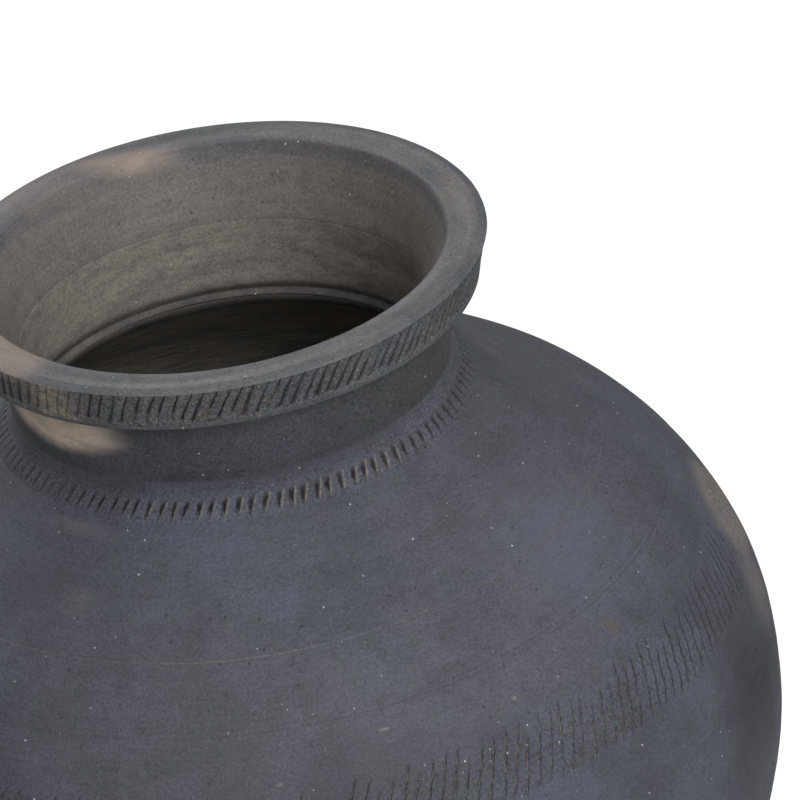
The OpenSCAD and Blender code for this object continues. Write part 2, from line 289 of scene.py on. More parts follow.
def clay(name, up, out, base, warm, warm_share, inside, clouds, scratches=(), streak=0.7):
    """A finish of smoked, unglazed clay, streaked along a direction given as up and out."""
    finish = bpy.data.materials.new(name)
    finish.use_nodes = True
    finish.node_tree.nodes.clear()
    w = Wiring(finish.node_tree)
    place = w.node("ShaderNodeTexCoord").outputs["Object"]
    marks = w.group(TURNING, Place=place, Up=up, Out=out)
    patches = w.noise(place, 24.0, 6.0, 0.65)
    wide = w.noise(place, 9.0, 4.0, 0.6)
    grain = w.noise(place, 1000.0, 3.0, 0.75)
    mottle = w.noise(place, 170.0, 5.0, 0.65)
    coarse = w.mask("coarse")

    # The smoke's own colours outside; inside, a pale tone lifted as painted light, since little lamp light
    # reaches into the jar; and the worn lip, lighter partly from wear and partly as painted highlight.
    colour = w.mix(w.ramp(patches, 0.38, 0.66), base, DARK_GREY)
    colour = w.mix(w.math("MULTIPLY", w.ramp(wide, 0.42, 0.62), warm_share), colour, warm)
    brushed = w.math("ADD", w.math("MULTIPLY", patches, 0.3), w.math("MULTIPLY", marks["Brushed"], 0.7))
    colour = w.mix(w.mask("inner"), colour, w.mix(w.ramp(brushed, 0.34, 0.76), inside, INSIDE_DARK))
    colour = w.mix(w.math("MULTIPLY", w.mask("worn"), 0.8), colour, WEAR_AND_HIGHLIGHT)

    # Streaks, grain and mottling lighten and darken it.
    shade = w.math("ADD", w.math("MULTIPLY", marks["Broad"], 0.3 * streak),
                   w.math("MULTIPLY", marks["Fine"], 0.35 * streak))
    shade = w.math("ADD", shade, w.math("MULTIPLY", marks["Brushed"], 0.3 * streak))
    fine = w.math("MULTIPLY_ADD", coarse, 2.4, 1.6)
    shade = w.math("ADD", shade, w.math("MULTIPLY", w.math("SUBTRACT", grain, 0.5), fine))
    shade = w.math("ADD", shade, w.math("MULTIPLY", mottle, 0.45))
    level = w.math("MAXIMUM", w.math("ADD", shade, 1.0 - 0.475 * streak - 0.225), 0.15)
    lift = w.node("ShaderNodeCombineColor")
    for channel in lift.inputs:
        w.join(level, channel)
    colour = w.mix(1.0, colour, lift.outputs[0], "MULTIPLY")

    # Fire clouds, and patches of painted shade and painted sheen, laid over the colour one by one.
    for centre, half, fray, soft, amount, pale in clouds.values():
        egg = w.node("ShaderNodeMapping", vector_type="TEXTURE")
        w.join(place, egg.inputs["Vector"])
        egg.inputs["Location"].default_value = [c * MM for c in centre]
        egg.inputs["Scale"].default_value = [h * MM for h in half]
        patch = w.group(CLOUD, Place=egg.outputs[0], Fray=fray, Soft=soft,
                        Scale=2.2 if fray < 1 else 4.5)
        shown = w.math("MULTIPLY", patch["Mask"], amount)
        shown = w.math("MULTIPLY", shown, w.ramp(marks["Brushed"], 0.3, 0.6, 0.7, 1.0))
        colour = w.mix(shown, colour, pale)

    # Cuts are darkened as painted shade in the grooves, with soot at the throat, and pale dust lies in some
    # of them. The same mask darkens places of painted shade on the neck and inside the flare.
    speckled = w.math("MULTIPLY", w.mask("dust"), w.ramp(grain, 0.35, 0.6, 0.35, 1.0))
    colour = w.mix(w.math("MULTIPLY", w.mask("cut"), 0.85), colour, SOOT_AND_SHADE)
    colour = w.mix(speckled, colour, DUST)

    bright = w.group(SPECKS, Place=place)
    glint = w.ramp(bright["Chance"], 0.3, 0.6, 0.35, 0.95)
    colour = w.mix(w.math("MULTIPLY", bright["Mask"], glint), colour, BRIGHT)
    pits = w.group(SPECKS, Place=w.vector("ADD", place, (0.31, 0.17, 0.05)), Spacing=190.0, Size=0.0008)
    colour = w.mix(w.math("MULTIPLY", pits["Mask"], 0.35), colour, SOOT_AND_SHADE)

    for start, end, width, mark_tone, amount in scratches:
        line = w.group(SCRATCH, Place=place, From=tuple(c * MM for c in start),
                       To=tuple(c * MM for c in end), Width=width * MM)
        colour = w.mix(w.math("MULTIPLY", line["Mask"], amount), colour, mark_tone)

    height = w.math("MULTIPLY", grain, w.math("MULTIPLY_ADD", coarse, 2.5, 1.0))
    height = w.math("ADD", height, w.math("MULTIPLY", mottle, 1.2))
    height = w.math("ADD", height, w.math("MULTIPLY", marks["Fine"], 0.8))
    height = w.math("SUBTRACT", height, w.math("MULTIPLY", pits["Mask"], 1.5))
    bump = w.node("ShaderNodeBump")
    bump.inputs["Strength"].default_value = 0.6
    bump.inputs["Distance"].default_value = 0.0002
    w.join(height, bump.inputs["Height"])

    skin = w.node("ShaderNodeBsdfPrincipled")
    w.join(colour, skin.inputs["Base Color"])
    w.join(w.math("MULTIPLY_ADD", patches, 0.2, 0.56), skin.inputs["Roughness"])
    w.join(bump.outputs[0], skin.inputs["Normal"])
    skin.inputs["Specular IOR Level"].default_value = 0.35
    end = w.node("ShaderNodeOutputMaterial")
    w.join(skin.outputs[0], end.inputs["Surface"])
    return finish


# Each cloud: centre and half sizes in mm, how frayed and how soft its edge is, how strongly it
# shows, and its colour.
# Its pale inside tone is partly lifted as painted light, since little lamp light reaches into the jar.
WALL_CLAY = clay("smoked wall clay", 1.0, -1.0, BLUE_GREY, BROWN_GREY, 0.35, tone(190, 182, 174), {
    # Painted sheen: a paler blue patch on the right of the shoulder, standing in for a soft highlight.
    "painted blue sheen": ((105.9, -76.7, 251.9), (52, 52, 34), 0.5, 1.0, 0.4, tone(106, 110, 127)),
    # Painted shade: a darker patch low on the front of the belly.
    "low front": ((40.7, -164.1, 208.8), (130, 70, 34), 0.4, 0.9, 0.28, tone(58, 59, 66)),
    # Painted shade: a darker patch on the left of the shoulder.
    "dim left": ((-80.1, -83.6, 263.1), (50, 46, 34), 0.5, 0.95, 0.25, tone(58, 59, 66)),
    # Painted shade: a dark patch along the right outline, where the belly turns away from the lamps.
    "painted shade right outline": ((168, -60, 168), (32, 66, 46), 0.5, 0.95, 0.9, tone(50, 50, 54)),
    "right side": ((171, 2, 207), (20, 30, 24), 0.35, 0.45, 0.45, TAN),
    # A pale streak by the right outline: partly a burnish mark, partly painted highlight.
    "right burnish and highlight": ((177, -24, 184), (14, 22, 26), 0.4, 0.7, 0.2, TAN),
    "smudge": ((118.8, -104.4, 226), (5, 5, 7), 1.6, 0.8, 0.7, tone(94, 87, 80)),
    "faint smudge": ((-66.7, -91.6, 265), (10, 8, 6), 1.4, 0.9, 0.12, DUST),
    "chip": ((79.1, -138.8, 223.9), (1.4, 1.2, 1), 0.5, 0.4, 0.6, PALE),
    "fleck": ((32.5, -152.6, 228.6), (3, 1.0, 0.7), 0.5, 0.5, 0.6, PALE),
    "blob": ((-7.2, -162.7, 219.5), (1.8, 1.4, 1.2), 0.6, 0.6, 0.4, PALE),
    "toe dust": ((-62, -66, 280.5), (30, 16, 3), 0.9, 1.0, 0.18, PALE),
})

floor_r = BOWL_AXIS + math.sqrt((BOWL_ARC - WALL) ** 2 - (BELLY_H - BASE_T) ** 2)
under = [(r, 0) for r in (0, 30, 60, 76, BASE_R - EDGE_ROUND)]
base = turned("base_disc_clay", under + [(BASE_R, EDGE_H), (floor_r, BASE_T), (40, BASE_T), (0, BASE_T)], 192)
t, r, z = places(base)
settle(base, t, r, z)
fitted(base, "base_disc", slot="base_clay", finish=WALL_CLAY)


# The foot of the bowl: the lowest ring of the wall, beaten out round over the base and closed by
# a level joint. All rings follow one line, the jar's outer skin. Places on it are a distance up
# the skin from the widest line and a depth under it.
NECK_R = 80.5
ROOT_H = 289.8
BELLY_ARC = 119.46
BELLY_AXIS = BODY_R - BELLY_ARC
SHOULDER_SLOPE = math.radians(37)
BEND = math.pi / 2 - SHOULDER_SLOPE
BEND_S = BELLY_ARC * BEND
UPHILL = np.array([-math.cos(SHOULDER_SLOPE), math.sin(SHOULDER_SLOPE)])
OUTWARD = np.array([math.sin(SHOULDER_SLOPE), math.cos(SHOULDER_SLOPE)])
BEND_POINT = np.array([BELLY_AXIS, BELLY_H]) + BELLY_ARC * OUTWARD


def on_skin(s, depth=0.0):
    """Radius and height, in mm, of a point s up the skin and so deep under it."""
    if s < 0:
        angle = s / BOWL_ARC
        reach = BOWL_ARC - depth
        return np.array([BOWL_AXIS + reach * math.cos(angle), BELLY_H + reach * math.sin(angle)])
    if s < BEND_S:
        angle = s / BELLY_ARC
        reach = BELLY_ARC - depth
        return np.array([BELLY_AXIS + reach * math.cos(angle), BELLY_H + reach * math.sin(angle)])
    return BEND_POINT + (s - BEND_S) * UPHILL - depth * OUTWARD


def skin_place(r, z):
    """For arrays of radii and heights: distance up the skin, depth under it, and its outward normal."""
    low = np.arctan2(z - BELLY_H, r - BOWL_AXIS)
    high = np.arctan2(z - BELLY_H, r - BELLY_AXIS)
    along = (r - BEND_POINT[0]) * UPHILL[0] + (z - BEND_POINT[1]) * UPHILL[1]
    out = (r - BEND_POINT[0]) * OUTWARD[0] + (z - BEND_POINT[1]) * OUTWARD[1]
    bowl, cone = low < 0, high > BEND
    s = np.where(bowl, low * BOWL_ARC, np.where(cone, BEND_S + along, high * BELLY_ARC))
    depth = np.where(bowl, BOWL_ARC - np.hypot(r - BOWL_AXIS, z - BELLY_H),
                     np.where(cone, -out, BELLY_ARC - np.hypot(r - BELLY_AXIS, z - BELLY_H)))
    tilt = np.where(bowl, low, np.where(cone, BEND, high))
    return s, depth, np.cos(tilt), np.sin(tilt)


def skin_s(r, z):
    """Distance up the skin of one place, in mm."""
    return float(skin_place(np.array([r]), np.array([z]))[0][0])


def height_s(z):
    """Distance up the skin of a height on it, in mm."""
    arc = BOWL_ARC if z < BELLY_H else BELLY_ARC
    return arc * math.asin((z - BELLY_H) / arc)


def rows(low, high, step, fine=(), fine_step=0.16, fine_reach=1.1):
    """Places for rows of vertices between two ends, close together at the ends and at fine marks."""
    count = max(4, round((high - low) / step))
    even = [low + (high - low) * (1 - math.cos(math.pi * k / count)) / 2 for k in range(count + 1)]
    close = [m + d for m in fine for d in np.arange(-fine_reach, fine_reach + 0.01, fine_step)]
    inside = [x for x in close if low + 0.05 < x < high - 0.05]
    kept = [x for x in even if x in (low, high) or all(abs(x - c) > 0.4 * step for c in inside)]
    return sorted(kept + inside)


def wall_ring(name, low, high, step, columns, fine=()):
    """A ring of the thrown wall between two joints, each given on the skin and on the inner wall."""
    outer = [on_skin(s) for s in rows(low[0], high[0], step, fine)]
    inner = [on_skin(s, WALL) for s in rows(low[1], high[1], 3 * step)]
    return turned(name, outer + inner[::-1], columns)


def ripples(t, s, seed, lobes, wave, count=16):
    """Seeded waves round the jar and up its wall, from -1 to 0."""
    chance = random.Random(seed)
    total = np.zeros_like(t)
    for _ in range(count):
        turns = chance.randint(-lobes, lobes)
        rise = chance.choice((-1, 1)) * 2 * math.pi / (wave * chance.uniform(0.8, 2.5))
        total += np.sin(turns * t + rise * s + chance.uniform(0, 2 * math.pi))
    return np.clip(total / math.sqrt(count), -1.6, 1.6) / 3.2 - 0.5


NECK_S = skin_s(NECK_R, ROOT_H)


def thrown(t, s):
    """How far the potter's hand left the skin under its true line, in mm."""
    near_neck = np.clip((NECK_S - 11 - s) / 20, 0, 1)
    broad = 0.5 * ripples(t, s, 3, 3, 90)
    beaten = 0.35 * ripples(t, s, 5, 9, 34)
    rings = 0.1 * ripples(t, s, 8, 2, 9)
    return near_neck * (broad + beaten + rings)


def scored(t, s, at, width, depth, wander, seed):
    """A line drawn round the turning jar by a point, fainter in places."""
    path = at + wander * (2 * ripples(t, 0 * s, seed, 4, 50) + 1)
    press = 1 + 0.7 * (2 * ripples(t, 0 * s, seed + 1, 7, 50) + 1)
    off = (s - path) / (width / 2)
    return -depth * np.clip(press, 0.25, 2) * np.exp(-off * off)


def press_wall(piece, marks=(), dusty=0.0):
    """Gives a ring of the wall the hand's ripples and its scored lines."""
    t, r, z = places(piece)
    s, depth, nr, nz = skin_place(r, z)
    lines = sum((scored(t, s, **m) for m in marks), np.zeros_like(s))
    fade = np.clip(1 - depth / WALL, 0, 1)
    move = fade * thrown(t, s) + np.clip(1 - depth / 1.5, 0, 1) * lines
    drawn = np.clip(-lines / 0.15, 0, 1)
    patchy = np.clip(2 * (ripples(t, 0 * s, 33, 6, 50) + 0.8), 0.35, 1)
    # How much of the pale inside tone shows: fully low in the jar and less near the neck, partly as painted
    # light deep inside.
    lining = (depth / WALL > 0.5) * np.clip((NECK_S + 2 - s) / 18, 0.35, 1)
    soot = (depth / WALL > 0.5) * np.clip((s - NECK_S + 12) / 10, 0, 0.35)
    ledge = (r < NECK_R - 1) & (s > NECK_S - 6)
    # Scored lines are darkened as painted shade in their grooves; the ledge and the inside near the neck are
    # darkened as soot.
    settle(piece, t, r + nr * move, z + nz * move,
           cut=0.5 * (1 - dusty) * drawn + np.where(ledge, 0.8 + 0.3 * patchy, soot),
           dust=dusty * drawn * patchy, inner=np.where(ledge, 1, lining))


FOOT_SEAM_H = 56
FOOT_SEAM = (height_s(FOOT_SEAM_H), BOWL_ARC * math.asin((FOOT_SEAM_H - BELLY_H) / (BOWL_ARC - WALL)))
base_joint = (height_s(EDGE_H), BOWL_ARC * math.asin((BASE_T - BELLY_H) / (BOWL_ARC - WALL)))
foot = wall_ring("foot_bowl_clay", base_joint, FOOT_SEAM, 2.6, 320)
press_wall(foot)
fitted(foot, "foot_bowl", slot="wall_clay", finish=WALL_CLAY)


# The lower bowl: the next ring of the same clay, beaten thin up to just under the widest line.
# From here up the rings overlap in slanting joints, pressed together while the clay is damp.
SCARF = math.radians(35)


def seam(s):
    """Ends of the slanting joint between two rings, on the skin and on the inner wall."""
    r, z = on_skin(s)
    nr, nz = (float(v[0]) for v in skin_place(np.array([r]), np.array([z]))[2:])
    run = WALL / (math.cos(SCARF) * nr + math.sin(SCARF) * nz)
    return s, skin_s(r - run * math.cos(SCARF), z - run * math.sin(SCARF))


BOWL_SEAM = seam(height_s(139))
bowl = wall_ring("lower_bowl_clay", FOOT_SEAM, BOWL_SEAM, 2.6, 384)
press_wall(bowl)
fitted(bowl, "lower_bowl", slot="wall_clay", finish=WALL_CLAY)


# The belly ring: the widest part of the wall, thrown round and smoothed with a wet cloth as the
# jar turned. It is luted to the bowl below and to the combed ring above.
COMB_LOW = seam(height_s(190.4))
belly = wall_ring("belly_ring_clay", BOWL_SEAM, COMB_LOW, 2.4, 512)
press_wall(belly)
fitted(belly, "belly_ring", slot="wall_clay", finish=WALL_CLAY)


# The combed ring: a ring of the wall with a band of slanting strokes, pressed into the damp clay
# one after another with a thin edge. Pale dust lies in the strokes on the front.
STROKES = 216
COMB_HIGH = seam(height_s(220.4))
COMB_BOTTOM_S = height_s(194.4)
COMB_TOP_S = height_s(218.2)


def stroke_lines(count, seed, slant, sway, lean):
    """The strokes of a band: place of each round the jar, its lean, and its random values."""
    chance = random.Random(seed)
    pitch = 2 * math.pi / count
    return [{"at": (k + chance.uniform(-sway, sway)) * pitch,
             "lean": math.tan(math.radians(slant + chance.uniform(-lean, lean))),
             "top": chance.random(), "foot": chance.random(), "press": chance.random(),
             "kink": chance.uniform(-1, 1), "wide": chance.random()} for k in range(count)]


def stroked(t, r, along, low, high, strokes, gather, kink=0.0):
    """Gathers the columns of vertices onto the strokes. Gives each vertex its new angle, its
    distance from the nearest stroke in mm, and the values of that stroke."""
    count = len(strokes)
    pitch = 2 * math.pi / count
    table = {k: np.array([s[k] for s in strokes]) for k in strokes[0]}
    place = (t % (2 * math.pi)) / pitch
    left = np.floor(place + 1e-6).astype(int)
    share = np.clip(place - left, 0, 1)
    left %= count
    right = (left + 1) % count
    middle = (low + high) / 2
    height = np.clip(along, low, high)
    ragged = kink * np.clip(1 - (height - low) / (0.22 * (high - low)), 0, 1)

    def line(index, turn):
        return (table["at"][index] + turn
                + (table["lean"][index] * (height - middle) + table["kink"][index] * ragged) / r)

    start, end = line(left, 0), line(right, np.where(right == 0, 2 * math.pi, 0))
    quarter = 0.25
    plain = (1 - 2 * gather * quarter) / (1 - 2 * quarter)
    near = np.where(share < quarter, gather * share,
                    np.where(share > 1 - quarter, 1 - gather * (1 - share),
                             gather * quarter + (share - quarter) * plain))
    angle = start + near * (end - start)
    closest = np.where(near < 0.5, left, right)
    off = np.where(near < 0.5, angle - start, angle - end) * r
    angle = (angle + math.pi) % (2 * math.pi) - math.pi
    return angle, off, {k: v[closest] for k, v in table.items()}, height


comb = wall_ring("comb_ring_clay", COMB_LOW, COMB_HIGH, 0.8, STROKES * 8)
t, r, z = places(comb)
s, depth, nr, nz = skin_place(r, z)
strokes = stroke_lines(STROKES, 11, 24, 0.09, 2.0)
t, off, stroke, height = stroked(t, r, s, COMB_BOTTOM_S, COMB_TOP_S, strokes, 0.35)
up = (height - COMB_BOTTOM_S) / (COMB_TOP_S - COMB_BOTTOM_S)
top = 1 - 0.25 * stroke["top"] ** 2
foot_end = 0.06 * stroke["foot"]
length = np.clip((top - up) / 0.2, 0, 1) * np.clip((up - foot_end) / 0.04, 0, 1)
length *= (s > COMB_BOTTOM_S) & (s < COMB_TOP_S)
width = 0.38 + 0.14 * stroke["wide"]
bend = 0.1 * np.sin(0.6 * s + 40 * stroke["press"]) + 0.07 * np.sin(2.1 * s + 90 * stroke["top"])
groove = np.clip(1 - np.abs(off - bend) / width, 0, 1)
broken = 1 + 0.6 * (2 * ripples(t, s, 13, 90, 3) + 1)
cut = groove * length * (0.75 + 0.4 * stroke["press"]) * np.clip(broken, 0.45, 1.2)
ridge = np.exp(-((np.abs(off) - 0.8) / 0.3) ** 2) * length
on_top = np.clip(1 - depth / 1.2, 0, 1)
dusty = np.clip((54 - np.degrees(t)) / 16, 0, 1)
within = np.clip((s - COMB_BOTTOM_S + 1) / 2, 0, 1) * np.clip((COMB_TOP_S + 1 - s) / 2, 0, 1)
move = np.clip(1 - depth / WALL, 0, 1) * thrown(t, s)
move += on_top * within * (0.12 * ridge - 0.75 * cut - 0.1)
# The strokes are darkened as painted shade in the grooves; pale dust lies in those on the front.
settle(comb, t, r + nr * move, z + nz * move, cut=3 * cut * on_top * (1 - 0.35 * dusty),
       dust=2.6 * (cut - 0.4) * on_top * dusty, coarse=0.45 * length * on_top, inner=depth / WALL > 0.5)
fitted(comb, "comb_ring", slot="band_clay", finish=WALL_CLAY)


# The shoulder ring: here the wall closes in, with a faint double line drawn round it by a split
# reed while the jar turned. It is luted to the combed ring and carries the crown.
FINE_S = skin_s(150.22, 235.2)
FINE_APART = 2.2
SCORE_S = skin_s(130.3, 252.3)
SCORE = seam(SCORE_S)
reed = (FINE_S - FINE_APART / 2, FINE_S + FINE_APART / 2)
fine_lines = [dict(at=reed[0], width=0.45, depth=0.09, wander=0.4, seed=21),
              dict(at=reed[1], width=0.45, depth=0.07, wander=0.4, seed=24)]
shoulder = wall_ring("shoulder_ring_clay", COMB_HIGH, SCORE, 2.2, 640, fine=reed)
press_wall(shoulder, fine_lines)
fitted(shoulder, "shoulder_ring", slot="wall_clay", finish=WALL_CLAY)


# The crown: the last ring of the wall, straight and steep, luted on along the scored line. Its
# inner edge stands into the throat as a narrow ledge, dark with soot.
THROAT_R = 74
THROAT_ROOT_H = 285.94
score_line = dict(at=SCORE_S + 0.45, width=0.55, depth=0.2, wander=0.1, seed=31)
throat_joint = (NECK_S, skin_s(THROAT_R, THROAT_ROOT_H))
crown = wall_ring("crown_ring_clay", SCORE, throat_joint, 2.2, 640, fine=(SCORE_S + 0.6,))
press_wall(crown, [score_line], dusty=0.7)
fitted(crown, "crown_ring", slot="wall_clay", finish=WALL_CLAY)


# The neck collar: a short thrown tube that swells softly, draws in under the rim and stands on
# the crown. A finger pressed a groove round the inside above the ledge, and the joint with the
# rim stayed open there as a thin line.
SEAT_R, RIM_FOOT_H, FLARE_FOOT_H = 86, 327.4, 318
BULGE_AXIS, BULGE_H, BULGE_ARC = 46.66, 306, 34.74
WAIST_AXIS, WAIST_H, WAIST_ARC = 88.5, 318.75, 9
SWAY_H = 316.13
BORE_LIMIT_R = 77
# The neck's pale inside tone is partly lifted as painted light. Its tan fire cloud on the left is made paler
# still as painted light where the rim shades it.
NECK_CLAY = clay("smoked neck clay", 1.0, 0.3, tone(67, 68, 73), tone(77, 75, 74), 0.5,
                 tone(146, 138, 131),
                 {"left": ((-64, -43, 313.5), (40, 40, 12), 0.3, 0.55, 1.0, tone(212, 195, 179))})


def neck_line(z):
    """Outer radius of the neck at a height, in mm."""
    if z > SWAY_H:
        return WAIST_AXIS - math.sqrt(WAIST_ARC ** 2 - (z - WAIST_H) ** 2)
    bulge = BULGE_AXIS + math.sqrt(BULGE_ARC ** 2 - (z - BULGE_H) ** 2)
    return bulge if z > BULGE_H else max(bulge, NECK_R)


outside = [(neck_line(z), z) for z in rows(ROOT_H, RIM_FOOT_H, 0.9)]
inside = [(THROAT_R, z) for z in rows(THROAT_ROOT_H, FLARE_FOOT_H, 1.1)]
collar = turned("neck_collar_clay", outside + [(83, RIM_FOOT_H), (NECK_R, RIM_FOOT_H)] + inside[::-1],
                512)
t, r, z = places(collar)
in_bore = r < BORE_LIMIT_R
free = np.clip((z - ROOT_H - 7.2) / 6, 0, 1) * np.clip((RIM_FOOT_H - z) / 4, 0, 1)
sway = np.where(r > BORE_LIMIT_R, 0.4 * ripples(t, z, 41, 5, 26) + 0.12 * ripples(t, z, 43, 2, 5), 0)
bore = np.where(in_bore, -0.6 * ripples(t, z, 45, 4, 12), 0)
bore *= np.clip((z - THROAT_ROOT_H) / 5, 0, 1) * np.clip((FLARE_FOOT_H - z) / 5, 0, 1)
bore += 2.4 * np.exp(-((z - 287.2) / 2.4) ** 2) * np.clip((79 - r) / 4, 0, 1)
open_seam = np.where(in_bore, np.exp(-((z - FLARE_FOOT_H) / 0.6) ** 2), 0)
open_seam *= np.clip(2 * (ripples(t, 0 * z, 47, 4, 40) + 0.9), 0.2, 1)
bore += 0.4 * open_seam
throat_soot = 0.65 * np.exp(-((z - 287.8) / 2.6) ** 2) + 0.45 * open_seam
# Painted shade on the front of the neck outside, darker lower down.
front = np.clip((50 - np.degrees(t)) / 25, 0, 1)
front_painted_shade = (0.16 + 0.16 * np.clip((302 - z) / 6, 0, 1)) * front
settle(collar, t, r + free * sway + bore, z, inner=r < 79, coarse=0.45 * (r > 79),
       cut=np.where(r < 79, throat_soot, front_painted_shade))
fitted(collar, "neck_collar", slot="neck_clay", finish=NECK_CLAY)


# The notched strip: a thin coil of clay pressed into the corner under the neck to hold the joint,
# and notched all round with a knife held at a slant.
STRIP_NOTCHES = 112
STRIP_TOE_R = 88
toe = np.array([STRIP_TOE_R, ROOT_H - (STRIP_TOE_R - NECK_R) * math.tan(SHOULDER_SLOPE)])
crest = toe + 7.5 * UPHILL + 1.6 * OUTWARD
hollow = [(NECK_R + (crest[0] - NECK_R) * (1 - k) ** 2, crest[1] + (ROOT_H + 7 - crest[1]) * k)
          for k in np.linspace(0.12, 1, 8)]
face = [tuple(toe + (crest - toe) * k + OUTWARD * 0.25 * math.sin(math.pi * k))
        for k in np.linspace(0, 0.9, 15)]
strip = turned("neck_fillet_clay", face + hollow + [(NECK_R, ROOT_H)], STRIP_NOTCHES * 12)
t, r, z = places(strip)
face_l = float(np.linalg.norm(crest - toe))
along = ((r - toe[0]) * (crest - toe)[0] + (z - toe[1]) * (crest - toe)[1]) / face_l
notches = stroke_lines(STRIP_NOTCHES, 51, 22, 0.1, 4.0)
t, off, notch, height = stroked(t, r, along, 0.6, face_l + 0.3, notches, 0.8)
up = (height - 0.6) / (face_l - 0.3)
span = np.clip((0.98 - up) / 0.1, 0, 1) * np.clip((up - 0.1 * notch["foot"]) / 0.2, 0, 1)
left = 0.4 + (1.5 + 0.5 * notch["wide"]) * up
slope = np.clip((0.45 - off) / (left + 0.45), 0, 1) * np.clip((off + left + 0.3) / 0.3, 0, 1)
skin_out = (z - toe[1]) * OUTWARD[1] + (r - toe[0]) * OUTWARD[0]
outer = np.clip((skin_out + 0.15) / 0.3, 0, 1) * (r > NECK_R + 0.3)
strength = np.clip((np.degrees(t) + 62) / 25, 0.35, 1) * (0.7 + 0.4 * notch["press"])
cut = slope * span * outer * strength
dusty = np.exp(-(np.degrees(t) / 42) ** 4) * (0.4 + 0.6 * notch["top"])
light = np.exp(-((off - 0.25) / 0.38) ** 2) * span * outer * dusty
front = np.clip((50 - np.degrees(t)) / 25, 0, 1)
# Painted shade in the hollow above the crest on the front, carrying the neck's dark tone down to the notches.
painted_shade = 0.3 * np.clip((z - crest[1] - 0.5) / 3, 0, 1) * front
move = -1.25 * cut - 0.1 * outer
# The notches are darkened as painted shade on their deep side.
settle(strip, t, r + OUTWARD[0] * move, z + OUTWARD[1] * move, sharp=50,
       cut=2 * cut * (1 - light) + painted_shade, dust=1.4 * light, coarse=0.5 * outer)
fitted(strip, "neck_fillet", slot="band_clay", finish=WALL_CLAY)


# The coil inside: clay pressed over the joint of neck and crown from within, and smeared up to
# the ledge by the potter's thumb.
COIL_HALF, COIL_SMEAR, COIL_T = 4.5, 7.4, 2
COIL_OUT = 7.5
COIL_MID = np.array([THROAT_R + COIL_OUT, THROAT_ROOT_H - COIL_OUT * math.tan(SHOULDER_SLOPE)])
back = [tuple(COIL_MID - UPHILL * x) for x in np.linspace(COIL_HALF, -COIL_SMEAR, 9)]
front = [tuple(COIL_MID + UPHILL * x * (COIL_SMEAR if x > 0 else COIL_HALF)
               - OUTWARD * COIL_T * math.sqrt(1 - x * x)) for x in np.linspace(0.98, -0.98, 17)]
coil = turned("seam_coil_clay", back + front, 256)
t, r, z = places(coil)
low = (r - COIL_MID[0]) * -OUTWARD[0] + (z - COIL_MID[1]) * -OUTWARD[1]
squeeze = 0.35 * np.clip(low / 2, 0, 1) * (ripples(t, 0 * z, 61, 14, 30) + 0.2)
settle(coil, t, r - OUTWARD[0] * squeeze, z - OUTWARD[1] * squeeze, inner=1 + 0 * t, cut=0.45 + 0 * t)
fitted(coil, "seam_coil", slot="neck_clay", finish=NECK_CLAY)


# The rim: a flared ring luted on the neck. Its lip is flat and burnished by use, and its outer
# band has a coarse skin, cut all round with slanting knife notches.
RIM_R, RIM_FOOT_R, LIP_H = 100, 95, 345
RIM_NOTCHES = 136
BAND_LOW, BAND_HIGH = 1.6, 16.3
EDGE_R, FLAT_R = 96.7, 86
HEADROOM = 0.01
RIM_CLAY = clay(
    "smoked rim clay", 0.2, 1.0, tone(94, 95, 99), tone(102, 99, 98), 0.45, tone(120, 114, 110),
    {"left": ((-76, -50, 345), (20, 24, 8), 0.3, 0.5, 0.6, TAN),
     "far": ((-26, 84, 343), (28, 10, 7), 0.5, 0.85, 0.9, TAN),
     "far left": ((-55, 70, 345), (40, 30, 8), 0.7, 0.9, 0.3, TAN),
     "right": ((88, 12, 345), (12, 22, 6), 0.5, 0.8, 0.2, TAN)},
    [((31.3, 70.5, 325.8), (35.6, 65.7, 319.9), 0.4, BRIGHT, 0.5)], streak=1.1)
lean = (RIM_R - RIM_FOOT_R) / (LIP_H - RIM_FOOT_H)
foot_round = [(RIM_FOOT_R - 1.6 + 1.6 * math.sin(a), RIM_FOOT_H + 1 - 1.6 * math.cos(a))
              for a in np.radians((0, 20, 40, 60, 80))]
band = [(RIM_FOOT_R + lean * h, RIM_FOOT_H + h) for h in np.arange(1.5, 15.9, 0.4)]
edge = [(99.85, 343.5), (99.5, 343.85), (99, 344.1), (98.4, 344.35), (97.8, 344.58), (97.2, 344.78),
        (96.8, 344.9), (96.5, 344.93), (96.2, 344.9)]
lip = [(x, LIP_H) for x in (95.6, 94.5, 93, 91.5, 90, 88.5)]
roll = [(87.2, 344.9), (86.2, 344.6), (85.4, 344.0), (84.8, 343.2), (84.2, 342.2)]
flare = [(THROAT_R + (84.2 - THROAT_R) * (k / 24) ** 1.3, FLARE_FOOT_H + k)
         for k in np.arange(22.5, -0.1, -1.5)]
seat_face = [(x, RIM_FOOT_H) for x in (NECK_R, SEAT_R, 90)]
rim = turned("rim_ring_clay", foot_round + band + edge + lip + roll + flare + seat_face, RIM_NOTCHES * 8)
t, r, z = places(rim)
high = z - RIM_FOOT_H
on_band = (r > RIM_FOOT_R + lean * high - 0.05) & (high > 0.5) & (high < 17)
notches = stroke_lines(RIM_NOTCHES, 71, 24, 0.1, 2.5)
t, off, notch, height = stroked(t, r, high, BAND_LOW, BAND_HIGH, notches, 0.42, kink=0.8)
up = (height - BAND_LOW) / (BAND_HIGH - BAND_LOW)
top = 1 - 0.05 * notch["top"]
deep = 0.6 + 0.5 * (1 - up)
span = np.clip((top - up) / 0.05, 0, 1) * np.clip((up - 0.14 * notch["foot"] ** 2) / 0.05, 0, 1)
width = (0.4 + 0.35 * notch["wide"] ** 2) * (0.8 + 0.45 * (1 - up))
cut = np.clip(1.25 * (1 - np.abs(off) / (1.35 * width)), 0, 1) * span * deep
